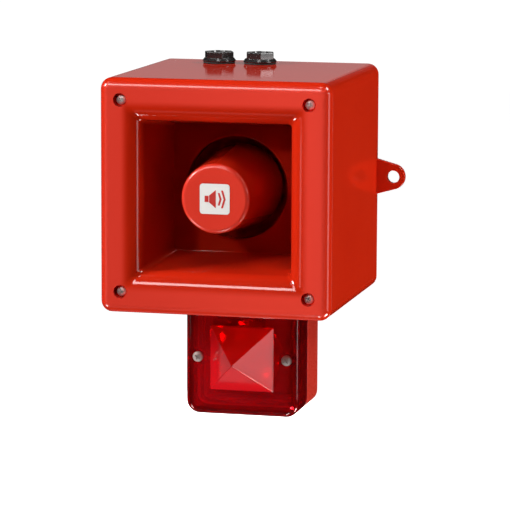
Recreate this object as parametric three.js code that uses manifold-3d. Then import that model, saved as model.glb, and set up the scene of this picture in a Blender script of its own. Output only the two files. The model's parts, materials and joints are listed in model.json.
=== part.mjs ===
// Horn strobe: a wall-mounted alarm horn in a square housing with a xenon beacon under it.
//
// Millimetres. +Z is up, the horn faces -Y, and the origin is the middle of the housing's
// rear face, which lies flat on the wall. The horn's axis is the Y axis.
import * as THREE from 'three';
import { mergeVertices } from 'three/addons/utils/BufferGeometryUtils.js';
import Module from 'manifold-3d';

const wasm = await Module();
wasm.setup();

// ---------------------------------------------------------------- driving dimensions
const GAP = 0.3; // between pieces that touch
const HOUSING = { half: 83, depth: 165, wall: 3.5, back: 4, cornerR: 8, edgeR: 6 };
const COVER = { thick: 7, screwAt: 67.7, screwR: 2, headR: 3.4, headH: 2.2, boreR: 4.8, boreDepth: 5 };
const RIM = { half: 76, depth: 10, grooveIn: 77.5, grooveOut: 80.5, grooveDepth: 2.2 };
const MOUTH = { lipHalf: 66.4, lipR: 14, lipFrom: 0.06, lipTo: 1.44, cornerR: 4, wall: 3, lipBack: 5.4 };
const THROAT_PLATE = { half: 45.8, y: -99, thick: 3, holeR: 37 };
const BOWL = { r: 37.5, bendR: 16, floorY: -70, wall: 3.5, hubR: 14.3 };
const BULLET = { frontY: -161, rearY: -84, frontR: 24.5, rearR: 30.5, edgeR: 3.5, wall: 2.8 };
const LABEL = { width: 21.5, height: 21.3, thick: 0.6, cornerR: 2.2 };
const TONE_ARM = { throatR: 9, mouthR: 12, wall: 2.4, mouthY: -143, flangeR: 24, flangeThick: 3, hubR: 5 };
const DRIVER = { frontY: -62.4, plateR: 36, coilR: 19.1, canWall: 2.4, earR: 43 };
const LUG = { holeX: 95.5, holeR: 4.6, tipX: 94.6, tipR: 9.5, rootHalf: 13.6, thick: 5.5 };
const PLUG = {
  xs: [-31.4, -0.5], turns: [23, 14], y: -27, topZ: 91.6,
  flangeR: 12.3, acrossFlats: 19.7, threadR: 9.9, holeR: 10.3,
};
const BOARD = { halfX: 61, lowZ: -73, highZ: -20, backY: -12, thick: 1.6, screwX: 55, screwInset: 5 };
const STROBE = {
  half: 42.3, centreZ: -127.3, cornerR: 10, wall: 3.2, backY: -16.5, rimY: -52, frontY: -81.5,
};
const PYRAMID = { half: 23.3, height: 30 };
const LENS_SCREW = { x: 33.2, headR: 4, headH: 2.2, shankR: 1.6, columnR: 6 };
const NIPPLE = { y: -34.3, r: 9.9, boreR: 7, topZ: -72, bottomZ: -99 };
const SWITCH = { x: -8, z: -28, ways: 4, pitch: 2.54 };
const TRIMMER = { x: 16, z: -28, r: 3 };

const frontY = -HOUSING.depth;
const coverBackY = frontY + COVER.thick;
const rimY = coverBackY + GAP;
const bowlBackY = BOWL.floorY + 4;
const boardFaceY = BOARD.backY - BOARD.thick;

// ---------------------------------------------------------------- materials
const finish = (color, roughness, metalness = 0) =>
  new THREE.MeshStandardMaterial({ color, roughness, metalness });
const redPlastic = () => finish(0xc8200f, 0.3);
const blackNylon = () => finish(0x1c1b1c, 0.5);
const steel = () => finish(0x9c9c9a, 0.35, 0.9);
const rubber = () => finish(0x161616, 0.85);
const creamPlastic = () => finish(0xd9d2bd, 0.5);
const boardGreen = () => finish(0x1d5a30, 0.5);

// ---------------------------------------------------------------- solids
function solid(geometry) {
  const bare = new THREE.BufferGeometry();
  bare.setAttribute('position', geometry.getAttribute('position').clone());
  if (geometry.index) bare.setIndex(geometry.index.clone());
  const merged = mergeVertices(bare, 1e-4);
  return new wasm.Manifold(new wasm.Mesh({
    numProp: 3,
    vertProperties: new Float32Array(merged.getAttribute('position').array),
    triVerts: new Uint32Array(merged.index.array),
  }));
}

function geometryOf(manifold) {
  const mesh = manifold.getMesh();
  const geometry = new THREE.BufferGeometry();
  geometry.setAttribute('position', new THREE.BufferAttribute(mesh.vertProperties, mesh.numProp));
  geometry.setIndex(new THREE.BufferAttribute(mesh.triVerts, 1));
  geometry.computeVertexNormals();
  return geometry;
}

const joined = (...parts) => parts.reduce((whole, part) => whole.add(part));
const cut = (body, ...tools) => tools.reduce((left, tool) => left.subtract(tool), body);
const moved = (geometry, x, y, z) => geometry.translate(x, y, z);

// A box given by its lowest and highest corners.
function block(x0, x1, y0, y1, z0, z1) {
  const geometry = new THREE.BoxGeometry(x1 - x0, y1 - y0, z1 - z0);
  return solid(moved(geometry, (x0 + x1) / 2, (y0 + y1) / 2, (z0 + z1) / 2));
}

// A round bar along Y at (x, z).
function barY(r, y0, y1, x = 0, z = 0, segments = 14) {
  const geometry = new THREE.CylinderGeometry(r, r, y1 - y0, segments);
  return solid(moved(geometry, x, (y0 + y1) / 2, z));
}

// A bar along Z at (x, y); six segments make a hexagon.
function barZ(r, z0, z1, x = 0, y = 0, segments = 20, topR = r) {
  const geometry = new THREE.CylinderGeometry(topR, r, z1 - z0, segments);
  geometry.rotateX(Math.PI / 2);
  return solid(moved(geometry, x, y, (z0 + z1) / 2));
}

// A bar along X at (y, z).
function barX(r, x0, x1, y = 0, z = 0, segments = 12) {
  const geometry = new THREE.CylinderGeometry(r, r, x1 - x0, segments);
  geometry.rotateZ(Math.PI / 2);
  return solid(moved(geometry, (x0 + x1) / 2, y, z));
}

// A solid of revolution about the Y axis from [radius, y] points, which start and end on the axis.
function turned(points, segments = 24) {
  const profile = points.map(([r, y]) => new THREE.Vector2(r, y));
  return solid(new THREE.LatheGeometry(profile, segments));
}

// Points on an arc of a [radius, y] profile, from one angle to another.
function arc(centreR, centreY, radius, from, to, steps) {
  return Array.from({ length: steps + 1 }, (_, i) => {
    const angle = from + ((to - from) * i) / steps;
    return [centreR + radius * Math.cos(angle), centreY + radius * Math.sin(angle)];
  });
}

// One rounded square in the XZ plane, as a ring of points.
function squareRing(half, cornerR, y, centreZ = 0, steps = 3) {
  const ring = [];
  const inner = half - cornerR;
  for (let corner = 0; corner < 4; corner += 1) {
    const start = (corner * Math.PI) / 2;
    const sx = Math.sign(Math.cos(start + Math.PI / 4));
    const sz = Math.sign(Math.sin(start + Math.PI / 4));
    for (let i = 0; i <= steps; i += 1) {
      const angle = start + ((Math.PI / 2) * i) / steps;
      const x = sx * inner + cornerR * Math.cos(angle);
      const z = sz * inner + cornerR * Math.sin(angle);
      ring.push(new THREE.Vector3(x, y, centreZ + z));
    }
  }
  return ring;
}

// A skin through rings of equal length. Rings run from rear to front outside, or, when looped,
// on round the front and back inside to the first ring. An open run is capped at both ends.
function lofted(rings, looped = false) {
  const size = rings[0].length;
  const positions = rings.flat().flatMap((point) => [point.x, point.y, point.z]);
  const index = [];
  const spans = looped ? rings.length : rings.length - 1;
  for (let row = 0; row < spans; row += 1) {
    const here = row * size;
    const next = ((row + 1) % rings.length) * size;
    for (let i = 0; i < size; i += 1) {
      const j = (i + 1) % size;
      index.push(here + i, here + j, next + j, here + i, next + j, next + i);
    }
  }
  if (!looped) {
    const last = (rings.length - 1) * size;
    for (let i = 1; i < size - 1; i += 1) {
      index.push(0, i + 1, i, last, last + i, last + i + 1);
    }
  }
  const geometry = new THREE.BufferGeometry();
  geometry.setAttribute('position', new THREE.Float32BufferAttribute(positions, 3));
  geometry.setIndex(index);
  return solid(geometry);
}

// A rounded square bar along Y, and the same as a hollow frame.
const squareBar = (half, cornerR, rearY, nearY, centreZ = 0) =>
  lofted([squareRing(half, cornerR, rearY, centreZ), squareRing(half, cornerR, nearY, centreZ)]);
const squareFrame = (outer, inner, cornerR, rearY, nearY, centreZ = 0) =>
  cut(
    squareBar(outer, cornerR, rearY, nearY, centreZ),
    squareBar(inner, Math.max(cornerR - (outer - inner), 1), rearY + 1, nearY - 1, centreZ),
  );

const corners = (half) => [[half, half], [-half, half], [-half, -half], [half, -half]];

function mesh(name, shape, material) {
  const piece = new THREE.Mesh(shape.isBufferGeometry ? shape : geometryOf(shape), material);
  piece.name = name;
  return piece;
}

// ---------------------------------------------------------------- housing
function lugOutline(side) {
  const { tipX, tipR, rootHalf } = LUG;
  const rootX = HOUSING.half - 2;
  const shape = new THREE.Shape();
  const lean = Math.atan2(rootHalf - tipR, tipX - rootX);
  const turn = Math.PI / 2 - lean;
  shape.moveTo(side * rootX, -rootHalf);
  const [start, end] = side > 0 ? [-turn, turn] : [Math.PI + turn, Math.PI - turn];
  shape.absarc(side * tipX, 0, tipR, start, end, side < 0);
  shape.lineTo(side * rootX, rootHalf);
  return shape;
}

function lug(side) {
  const geometry = new THREE.ExtrudeGeometry(lugOutline(side), {
    depth: LUG.thick, bevelEnabled: false, curveSegments: 10,
  });
  geometry.rotateX(Math.PI / 2);
  const hole = barY(LUG.holeR, -LUG.thick - 1, 1, side * LUG.holeX);
  return cut(solid(geometry), hole);
}

function cornerBoss(x, z) {
  const boss = barY(6.5, rimY, -HOUSING.back + 1, x, z, 14);
  const wallX = Math.sign(x) * (HOUSING.half - 2);
  const wallZ = Math.sign(z) * (HOUSING.half - 2);
  const ribEndY = rimY + 12;
  const ribBackY = -HOUSING.back + 1;
  const sideways = block(Math.min(x, wallX), Math.max(x, wallX), ribEndY, ribBackY, z - 1.5, z + 1.5);
  const upright = block(x - 1.5, x + 1.5, ribEndY, ribBackY, Math.min(z, wallZ), Math.max(z, wallZ));
  return joined(boss, sideways, upright);
}

const boardCorners = () => {
  const zs = [BOARD.lowZ + BOARD.screwInset, BOARD.highZ - BOARD.screwInset];
  return zs.flatMap((z) => [[-BOARD.screwX, z], [BOARD.screwX, z]]);
};

function rearHousing() {
  const { half, wall, back, cornerR } = HOUSING;
  const shell = cut(
    squareBar(half, cornerR, 0, rimY),
    squareBar(half - wall, cornerR - wall, -back, rimY - 1),
  );
  const rim = squareFrame(half - 1, RIM.half, cornerR - 1, rimY + RIM.depth, rimY);
  const bosses = corners(COVER.screwAt).map(([x, z]) => cornerBoss(x, z));
  const posts = boardCorners().map(([x, z]) => barY(4, BOARD.backY + GAP, -back + 1, x, z, 10));
  const body = joined(shell, rim, ...bosses, ...posts, lug(1), lug(-1));
  const groove = squareFrame(RIM.grooveOut, RIM.grooveIn, 5, rimY + RIM.grooveDepth, rimY - 1);
  const screwHoles = corners(COVER.screwAt).map(([x, z]) => barY(2.3, rimY - 1, rimY + 24, x, z, 10));
  const postHoles = boardCorners().map(([x, z]) => barY(1.75, BOARD.backY - 1, -back - 1.5, x, z, 8));
  const entries = PLUG.xs.map((x) => barZ(PLUG.holeR, half - wall - 2, half + 2, x, PLUG.y, 20));
  const strobeHole = barZ(PLUG.holeR, -half - 2, -half + wall + 2, 0, NIPPLE.y, 20);
  const openings = [groove, ...screwHoles, ...postHoles, ...entries, strobeHole];
  return mesh('rear_housing', cut(body, ...openings), redPlastic());
}

function frontGasket() {
  const { grooveOut, grooveIn, grooveDepth } = RIM;
  const ring = squareFrame(grooveOut - GAP, grooveIn + GAP, 5 - GAP, rimY + grooveDepth - GAP, rimY);
  return mesh('front_gasket', ring, rubber());
}

// ---------------------------------------------------------------- horn flare
// The flare's section: [half width, y, corner radius] from the bezel's back edge, over the rounded
// edge, the flat bezel and the lip, down the flare and back up its outside.
function flareSection() {
  const { half, cornerR, edgeR } = HOUSING;
  const { lipHalf, lipR, lipFrom, lipTo, wall, lipBack } = MOUTH;
  const edge = arc(half - edgeR, frontY + edgeR, edgeR, 0, -Math.PI / 2, 5);
  const bezel = edge.map(([h, y]) => [h, y, cornerR - (half - h)]);
  const lipStart = -Math.PI / 2 - lipFrom;
  const lipCentre = [lipHalf - lipR * Math.cos(lipStart), frontY - lipR * Math.sin(lipStart)];
  const lip = arc(...lipCentre, lipR, lipStart, -Math.PI / 2 - lipTo, 5);
  const mouth = lip.map(([h, y]) => [h, y, MOUTH.cornerR]);
  const [lipEndHalf, lipEndY] = lip.at(-1);
  const { half: plateHalf, y: plateY, thick } = THROAT_PLATE;
  return [
    [half, coverBackY, cornerR],
    ...bezel,
    ...mouth,
    [plateHalf, plateY, 3],
    [plateHalf, plateY + thick, 3],
    [plateHalf + wall, plateY + thick, 5],
    [lipEndHalf + lipBack, lipEndY + 3, 6],
    [lipEndHalf + lipBack, coverBackY, 6],
  ];
}

function bowlInside() {
  const { r, bendR, floorY, hubR } = BOWL;
  return turned([
    [0, THROAT_PLATE.y - 1],
    [THROAT_PLATE.holeR, THROAT_PLATE.y - 1],
    [THROAT_PLATE.holeR, THROAT_PLATE.y + 2],
    ...arc(r - bendR, floorY - bendR, bendR, 0, Math.PI / 2, 6),
    [hubR, floorY],
    [hubR, bowlBackY + 1],
    [0, bowlBackY + 1],
  ], 32);
}

function bowlOutside() {
  const { r, wall } = BOWL;
  const outer = r + wall;
  return turned([
    [0, THROAT_PLATE.y + 1],
    [outer, THROAT_PLATE.y + 1],
    [outer, bowlBackY - 6],
    [outer - 3, bowlBackY],
    [0, bowlBackY],
  ], 20);
}

const driverEars = () => [90, 210, 330].map((degrees) => {
  const angle = THREE.MathUtils.degToRad(degrees);
  return [DRIVER.earR * Math.cos(angle), DRIVER.earR * Math.sin(angle)];
});

function hornFlare() {
  const section = flareSection();
  const skin = lofted(section.map(([h, y, r]) => squareRing(h, r, y)), true);
  const { half, y, thick } = THROAT_PLATE;
  const plate = squareBar(half + 1.5, 3, y + thick, y);
  const bosses = driverEars().map(([x, z]) => barY(5.5, -95, DRIVER.frontY - GAP, x, z, 14));
  const body = joined(skin, plate, bowlOutside(), ...bosses);
  const bossHoles = driverEars().map(([x, z]) => barY(2, -78, DRIVER.frontY + 1, x, z, 8));
  const screwHoles = corners(COVER.screwAt).map(([x, z]) => barY(2.7, frontY - 1, coverBackY + 1, x, z, 10));
  const bores = corners(COVER.screwAt).map(([x, z]) =>
    barY(COVER.boreR, frontY - 1, frontY + COVER.boreDepth, x, z, 16));
  return mesh('horn_flare', cut(body, bowlInside(), ...bossHoles, ...screwHoles, ...bores), redPlastic());
}

// A pan-head screw that points along +Y from its head's underside at y = 0, with a cross recess.
function screw(name, headR, headH, shankR, length, segments = 12) {
  const head = turned([
    [0, -headH], [headR * 0.8, -headH], [headR, -headH * 0.55], [headR, 0], [0, 0],
  ], segments);
  const shank = turned([
    [0, -0.5], [shankR, -0.5], [shankR, length - shankR], [shankR * 0.3, length], [0, length],
  ], 8);
  const slotHalf = headR * 0.11;
  const reach = headR * 0.55;
  const slotA = block(-reach, reach, -headH - 1, -headH * 0.45, -slotHalf, slotHalf);
  const slotB = block(-slotHalf, slotHalf, -headH - 1, -headH * 0.45, -reach, reach);
  return mesh(name, cut(joined(head, shank), slotA, slotB), steel());
}

function coverScrews() {
  return corners(COVER.screwAt).map(([x, z], i) => {
    const piece = screw(`cover_screw_${i + 1}`, COVER.headR, COVER.headH, COVER.screwR, 22);
    piece.position.set(x, frontY + COVER.boreDepth - GAP, z);
    return piece;
  });
}

// ---------------------------------------------------------------- bullet and tone arm
const bulletR = (y, offset = 0) => {
  const share = (y - BULLET.frontY) / (BULLET.rearY - BULLET.frontY);
  return BULLET.frontR + (BULLET.rearR - BULLET.frontR) * share ** 1.15 - offset;
};

function bullet() {
  const { frontY: nose, rearY, edgeR, wall } = BULLET;
  const stations = [0.25, 0.5, 0.75].map((share) => nose + (rearY - nose) * share);
  const edgeCentreR = bulletR(nose + edgeR) - edgeR;
  const inside = [...stations].reverse().map((y) => [bulletR(y, wall), y]);
  const shell = turned([
    [0, nose],
    ...arc(edgeCentreR, nose + edgeR, edgeR, -Math.PI / 2, 0, 5),
    ...stations.map((y) => [bulletR(y), y]),
    [bulletR(rearY), rearY],
    [bulletR(rearY, 1.6), rearY],
    ...inside,
    [bulletR(nose + 12, wall), nose + 12],
    [bulletR(nose + 12, wall + 8), nose + wall + 1],
    [0, nose + wall + 1],
  ], 20);
  const { width, height, thick } = LABEL;
  const [halfX, halfZ] = [width / 2 + GAP, height / 2 + GAP];
  const pocket = block(-halfX, halfX, nose - 1, nose + thick, -halfZ, halfZ);
  const screwHole = barY(2.3, nose - 1, nose + wall + 2, 0, 0, 10);
  const headPocket = barY(4, nose - 1, nose + 2.6, 0, 0, 20);
  return mesh('bullet', cut(shell, pocket, screwHole, headPocket), redPlastic());
}

function roundedRectangle(width, height, radius) {
  const x = width / 2;
  const z = height / 2;
  const shape = new THREE.Shape();
  shape.moveTo(-x + radius, -z);
  shape.lineTo(x - radius, -z);
  shape.absarc(x - radius, -z + radius, radius, -Math.PI / 2, 0);
  shape.lineTo(x, z - radius);
  shape.absarc(x - radius, z - radius, radius, 0, Math.PI / 2);
  shape.lineTo(-x + radius, z);
  shape.absarc(-x + radius, z - radius, radius, Math.PI / 2, Math.PI);
  shape.lineTo(-x, -z + radius);
  shape.absarc(-x + radius, -z + radius, radius, Math.PI, Math.PI * 1.5);
  return shape;
}

function bulletLabel() {
  const shape = roundedRectangle(LABEL.width, LABEL.height, LABEL.cornerR);
  const geometry = new THREE.ExtrudeGeometry(shape, {
    depth: LABEL.thick, bevelEnabled: false, curveSegments: 4,
  });
  geometry.rotateX(Math.PI / 2);
  const label = mesh('bullet_label', geometry, finish(0xf2efe9, 0.4));
  label.position.y = BULLET.frontY + LABEL.thick - GAP;
  return label;
}

function bulletScrew() {
  const head = turned([[0, 0.9], [3.6, 0.9], [3.6, 2.3], [0, 2.3]], 20);
  const shank = barY(1.7, 2, 13, 0, 0, 8);
  const slot = block(-2.6, 2.6, 0, 1.5, -0.5, 0.5);
  const piece = mesh('bullet_screw', cut(joined(head, shank), slot), steel());
  piece.position.y = BULLET.frontY;
  return piece;
}

// The tube that leads sound from the driver into the bullet, with the four webs that carry the bullet.
function toneArm() {
  const { throatR, mouthR, wall, mouthY, flangeR, flangeThick, hubR } = TONE_ARM;
  const flangeY = bowlBackY + GAP;
  const noseY = BULLET.frontY + BULLET.wall + 1 + GAP;
  const outside = turned([
    [0, mouthY], [mouthR + wall, mouthY], [throatR + wall, BOWL.floorY - 12], [14, BOWL.floorY - 2],
    [14, flangeY], [flangeR, flangeY], [flangeR, flangeY + flangeThick], [0, flangeY + flangeThick],
  ]);
  const bore = turned([
    [0, mouthY - 1], [mouthR, mouthY - 1], [throatR, -80], [throatR, flangeY + flangeThick + 1],
    [0, flangeY + flangeThick + 1],
  ]);
  const hub = barY(hubR, noseY, noseY + 12, 0, 0, 20);
  const webReach = mouthR + wall - 0.3;
  const webs = joined(
    block(-webReach, webReach, noseY + 2, mouthY + 8, -1, 1),
    block(-1, 1, noseY + 2, mouthY + 8, -webReach, webReach),
  );
  const screwHole = barY(2, noseY - 1, noseY + 11, 0, 0, 8);
  return mesh('tone_arm', cut(joined(cut(outside, bore), hub, webs), screwHole), redPlastic());
}

// ---------------------------------------------------------------- driver
// A ring about the horn's axis between two radii and two depths.
const ringY = (innerR, outerR, y0, y1) =>
  cut(barY(outerR, y0, y1, 0, 0, 24), barY(innerR, y0 - 1, y1 + 1, 0, 0, 24));

const roofY = DRIVER.frontY + 1.6; // where the dome's chamber meets the throat
const plateRearY = DRIVER.frontY + 8.4;
const topPlateY = plateRearY + GAP;
const topPlateThick = 5;
const magnetY = topPlateY + topPlateThick + GAP;
const magnetThick = 12;
const yokeY = magnetY + magnetThick + GAP;
const yokeThick = 5;
const domeBackY = plateRearY - 0.9;

function driverGasket() {
  return mesh('driver_gasket', ringY(25, 37, bowlBackY + GAP, DRIVER.frontY - GAP), rubber());
}

function driverFront() {
  const chamber = turned([
    [0, roofY - 0.3], [8, roofY - 0.3], [TONE_ARM.throatR, roofY],
    [14, roofY + 1.4], [19.5, plateRearY - 2.6],
    [27, plateRearY - 2.4], [27, plateRearY + 1], [0, plateRearY + 1],
  ]);
  const throat = barY(TONE_ARM.throatR, DRIVER.frontY - 1, roofY + 1, 0, 0, 24);
  const plate = cut(barY(DRIVER.plateR, DRIVER.frontY, plateRearY, 0, 0, 24), chamber, throat);
  return mesh('driver_front', plate, finish(0x3a3a3c, 0.5));
}

function phasePlug() {
  const cone = turned([
    [0, DRIVER.frontY - 12.6], [2, DRIVER.frontY - 10.6], [6.2, DRIVER.frontY + 0.2],
    [6.2, roofY - 0.4], [0, roofY - 0.4],
  ], 16);
  const legs = [0, 120, 240].map((degrees) => {
    const geometry = new THREE.BoxGeometry(TONE_ARM.throatR - GAP - 4, 4, 1.4);
    geometry.translate((TONE_ARM.throatR - GAP + 4) / 2, DRIVER.frontY - 1.4, 0);
    geometry.rotateY(THREE.MathUtils.degToRad(degrees));
    return solid(geometry);
  });
  return mesh('phase_plug', joined(cone, ...legs), blackNylon());
}

// Dome, roll and rim of one thin pressing; it moves with the coil.
function diaphragm() {
  const skin = 0.4;
  const domeR = 18.4;
  const domeH = 3.6;
  const sphereR = (domeR ** 2 + domeH ** 2) / (2 * domeH);
  const dome = (lift, steps) => Array.from({ length: steps + 1 }, (_, i) => {
    const r = (domeR * i) / steps;
    return [r, domeBackY - lift - domeH + sphereR - Math.sqrt(sphereR ** 2 - r ** 2)];
  });
  const front = dome(skin, 6);
  const back = dome(0, 6).reverse();
  const profile = [...front, [22, domeBackY - skin - 0.5], [26.3, domeBackY - skin],
    [26.3, domeBackY], [22, domeBackY - 0.5], ...back];
  return mesh('diaphragm', turned(profile), finish(0xb8894a, 0.45));
}

function voiceCoil() {
  const { coilR } = DRIVER;
  const winding = ringY(coilR - 0.4, coilR + 0.4, domeBackY + GAP, domeBackY + 7.6);
  return mesh('voice_coil', winding, finish(0xb5642c, 0.4, 0.8));
}

function magnetAssembly() {
  const { plateR, coilR } = DRIVER;
  const pole = barY(coilR - 1.1, topPlateY, yokeY + 1, 0, 0, 24);
  const disc = barY(plateR, yokeY, yokeY + yokeThick, 0, 0, 24);
  return [
    mesh('top_plate', ringY(coilR + 1.1, plateR, topPlateY, topPlateY + topPlateThick), steel()),
    mesh('magnet_ring', ringY(23, plateR, magnetY, magnetY + magnetThick), finish(0x2a2a2d, 0.7)),
    mesh('pole_yoke', joined(pole, disc), steel()),
  ];
}

const leadXs = [-4, 4];
const leadEntry = { z: -37.6, y: -44 };

function driverCover() {
  const innerR = DRIVER.plateR + 0.6;
  const outerR = innerR + DRIVER.canWall;
  const rearY = yokeY + yokeThick + GAP;
  const can = turned([
    [0, DRIVER.frontY], [outerR, DRIVER.frontY], [outerR, rearY + 0.4],
    [outerR - 2, rearY + 2.4], [0, rearY + 2.4],
  ]);
  const ears = driverEars().map(([x, z]) => joined(
    barY(5.5, DRIVER.frontY, DRIVER.frontY + 3, x, z, 14),
    barY(5.5, DRIVER.frontY, DRIVER.frontY + 3, x * 0.9, z * 0.9, 20),
  ));
  const inside = barY(innerR, DRIVER.frontY - 1, rearY, 0, 0, 24);
  const earHoles = driverEars().map(([x, z]) => barY(2.2, DRIVER.frontY - 1, DRIVER.frontY + 4, x, z, 8));
  const leadHoles = leadXs.map((x) => barZ(1.7, -45, -30, x, leadEntry.y, 8));
  return mesh('driver_cover', cut(joined(can, ...ears), inside, ...earHoles, ...leadHoles), blackNylon());
}

function driverScrews() {
  return driverEars().map(([x, z], i) => {
    const piece = screw(`driver_screw_${i + 1}`, 3.4, 2.4, 1.7, 16);
    piece.rotation.x = Math.PI;
    piece.position.set(x, DRIVER.frontY + 3 + GAP, z);
    return piece;
  });
}

// ---------------------------------------------------------------- sounder board
function sounderBoard() {
  const { halfX, lowZ, highZ, backY } = BOARD;
  const plate = block(-halfX, halfX, boardFaceY, backY, lowZ, highZ);
  const holes = boardCorners().map(([x, z]) => barY(1.8, boardFaceY - 1, backY + 1, x, z, 8));
  return mesh('sounder_board', cut(plate, ...holes), boardGreen());
}

function boardScrews() {
  return boardCorners().map(([x, z], i) => {
    const piece = screw(`board_screw_${i + 1}`, 3, 2, 1.35, 7);
    piece.position.set(x, boardFaceY - GAP, z);
    return piece;
  });
}

function terminalBlock() {
  const ways = 6;
  const pitch = 5.6;
  const [left, low, height, deep] = [-50, -52, 12, 13];
  const rearY = boardFaceY - GAP;
  const body = block(left, left + ways * pitch + 1, rearY - deep, rearY, low, low + height);
  const openings = Array.from({ length: ways }, (_, i) => {
    const x = left + 0.5 + pitch * (i + 0.5);
    const screwWell = barY(1.9, rearY - deep - 1, rearY - deep + 4, x, low + height - 4, 8);
    const wireHole = block(x - 1.8, x + 1.8, rearY - 6, rearY - 2.4, low - 1, low + 6);
    return joined(screwWell, wireHole);
  });
  return mesh('terminal_block', cut(body, ...openings), finish(0x2f6f4a, 0.5));
}

function transformer() {
  const [x, z, rearY] = [40, -50, boardFaceY - GAP];
  const core = block(x - 15, x + 15, rearY - 20, rearY - 5, z - 12, z + 12);
  const winding = block(x - 9, x + 9, rearY - 24, rearY - 1, z - 11, z + 11);
  const feet = block(x - 11, x + 11, rearY - 6, rearY, z - 14, z + 14);
  return mesh('transformer', joined(core, winding, feet), finish(0xc9a227, 0.5));
}

function storageCan(name, r, length, segments = 16) {
  const profile = [
    [0, 0], [r, 0], [r, -2], [r - 0.6, -2.8], [r, -3.6], [r, -length + 0.8], [r - 0.8, -length], [0, -length],
  ];
  return mesh(name, turned(profile.reverse(), segments), finish(0x20406e, 0.4));
}

function boardCapacitor() {
  const can = storageCan('board_capacitor', 7, 22);
  can.position.set(14, boardFaceY - GAP, -50);
  return can;
}

const switchHeight = 4.6;
const switchRearY = boardFaceY - GAP;
const switchSlot = { halfX: 0.85, high: 1.6, low: -1.6, depth: 1.8 };
const wayX = (i) => SWITCH.x + (i - (SWITCH.ways - 1) / 2) * SWITCH.pitch;

function toneSwitch() {
  const halfX = (SWITCH.ways * SWITCH.pitch) / 2 + 0.4;
  const nearY = switchRearY - switchHeight;
  const body = block(SWITCH.x - halfX, SWITCH.x + halfX, nearY, switchRearY, SWITCH.z - 4.8, SWITCH.z + 4.8);
  const slots = Array.from({ length: SWITCH.ways }, (_, i) => {
    const { halfX: slotX, high, low, depth } = switchSlot;
    return block(wayX(i) - slotX, wayX(i) + slotX, nearY - 1, nearY + depth, SWITCH.z + low, SWITCH.z + high);
  });
  return mesh('tone_switch', cut(body, ...slots), finish(0xb3261e, 0.45));
}

// A slider rests at the low end of its slot and moves up to switch on.
function toneSliders() {
  const nearY = switchRearY - switchHeight;
  return Array.from({ length: SWITCH.ways }, (_, i) => {
    const slider = mesh(`tone_slider_${i + 1}`, block(-0.6, 0.6, -1, 1.5, 0, 1.6), creamPlastic());
    slider.position.set(wayX(i), nearY, SWITCH.z + switchSlot.low + 0.15);
    return slider;
  });
}

const trimmerNearY = boardFaceY - GAP - 5;

function volumeTrimmer() {
  const { x, z, r } = TRIMMER;
  const body = block(x - 4.5, x + 4.5, trimmerNearY, boardFaceY - GAP, z - 4.5, z + 4.5);
  const well = barY(r + 0.4, trimmerNearY - 1, trimmerNearY + 2.4, x, z, 16);
  return mesh('volume_trimmer', cut(body, well), finish(0x1d4fa0, 0.45));
}

function volumeRotor() {
  const { x, z, r } = TRIMMER;
  const disc = barY(r, -0.6, 2, 0, 0, 24);
  const slot = block(-r * 0.8, r * 0.8, -1.6, 0.4, -0.4, 0.4);
  const mark = block(-0.35, 0.35, -1.6, 0.1, 0, r * 0.85);
  const rotor = mesh('volume_rotor', cut(disc, slot, mark), creamPlastic());
  rotor.position.set(x, trimmerNearY, z);
  return rotor;
}

// ---------------------------------------------------------------- leads
function lead(name, points, color) {
  const curve = new THREE.CatmullRomCurve3(points.map(([x, y, z]) => new THREE.Vector3(x, y, z)));
  const section = new THREE.Shape();
  section.absarc(0, 0, 0.9, 0, Math.PI * 2);
  const geometry = new THREE.ExtrudeGeometry(section, { steps: 14, extrudePath: curve, curveSegments: 4 });
  return mesh(name, solid(geometry), finish(color, 0.5));
}

function leads() {
  const colors = [0xc4161c, 0x151515];
  const toDriver = leadXs.map((x, i) => lead(`driver_lead_${i + 1}`, [
    [x, boardFaceY - 0.5, -44], [x, boardFaceY - 8, -45], [x, -33, -47], [x, leadEntry.y + 1, -45],
    [x, leadEntry.y, -41], [x, leadEntry.y, leadEntry.z],
  ], colors[i]));
  const toStrobe = leadXs.map((x, i) => lead(`strobe_lead_${i + 1}`, [
    [-30 + x, boardFaceY - 4.5, -53], [-28 + x, boardFaceY - 6, -60], [-14 + x / 2, -27, -66],
    [x * 0.75 - 1, NIPPLE.y + 1, -70], [x * 0.7, NIPPLE.y, -80], [x * 0.7, NIPPLE.y, -98],
    [x * 0.8, -32, -106], [x, -27.5, -110],
  ], colors[i]));
  return [...toDriver, ...toStrobe];
}

// ---------------------------------------------------------------- stopping plugs
const hexR = (acrossFlats) => acrossFlats / Math.sqrt(3);

function stoppingPlugs() {
  const { half, wall } = HOUSING;
  const { xs, turns, flangeR, acrossFlats, topZ, threadR } = PLUG;
  const top = topZ - half;
  return xs.flatMap((x, i) => {
    const flange = barZ(flangeR, 1.5, 4, 0, 0, 32, flangeR - 1.4);
    const hexagon = barZ(hexR(acrossFlats), 3.8, top - 1, 0, 0, 6);
    const crown = barZ(hexR(acrossFlats), top - 1, top, 0, 0, 6, hexR(acrossFlats) - 1.6);
    const thread = barZ(threadR, -12, 2, 0, 0, 20);
    const plug = mesh(`stopping_plug_${i + 1}`, joined(flange, hexagon, crown, thread), blackNylon());
    const washer = cut(barZ(11.8, GAP, 1.2, 0, 0, 20), barZ(threadR + GAP, 0, 3, 0, 0, 20));
    const seal = mesh(`plug_seal_${i + 1}`, washer, rubber());
    const nut = locknut(`plug_locknut_${i + 1}`, -wall - GAP - 5);
    for (const piece of [plug, seal, nut]) {
      piece.position.set(x, PLUG.y, half);
      piece.rotation.z = THREE.MathUtils.degToRad(turns[i]);
    }
    return [plug, seal, nut];
  });
}

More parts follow.
